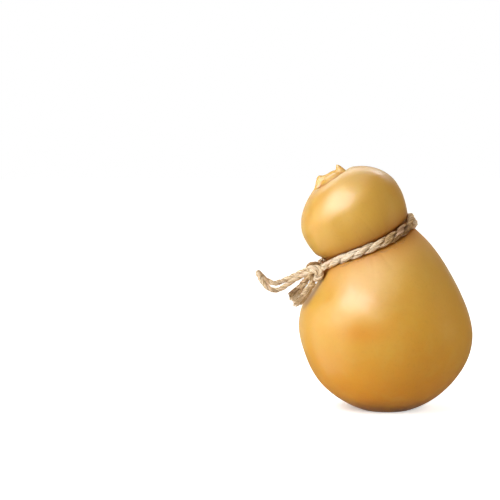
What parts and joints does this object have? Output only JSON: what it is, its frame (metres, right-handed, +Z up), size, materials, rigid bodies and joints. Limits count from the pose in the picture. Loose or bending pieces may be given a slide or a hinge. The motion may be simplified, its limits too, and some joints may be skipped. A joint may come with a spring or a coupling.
{
  "type": "smoked scamorza cheese",
  "caption": "Pear-shaped smoked cheese with a round head and pinched crown, tied round the neck with jute twine that ends in a knot, a hanging loop and frayed cut ends.",
  "frame": {"origin": "centre of the small flat spot that the cheese rests on", "axes": "+Z up, the head leans towards -X, where the knot and the hanging loop are; the picture looks along +Y"},
  "size_m": [0.0958, 0.0764, 0.1094],
  "materials": {
    "rind": "satin, slightly waxy smoked rind",
    "jute": "matt fibrous twine"
  },
  "bodies": {
    "root": {"cheese": "rind", "twine_tie": "jute", "twine_loop": "jute", "twine_end_outer": "jute", "twine_end_inner": "jute"}
  },
  "joints": []
}
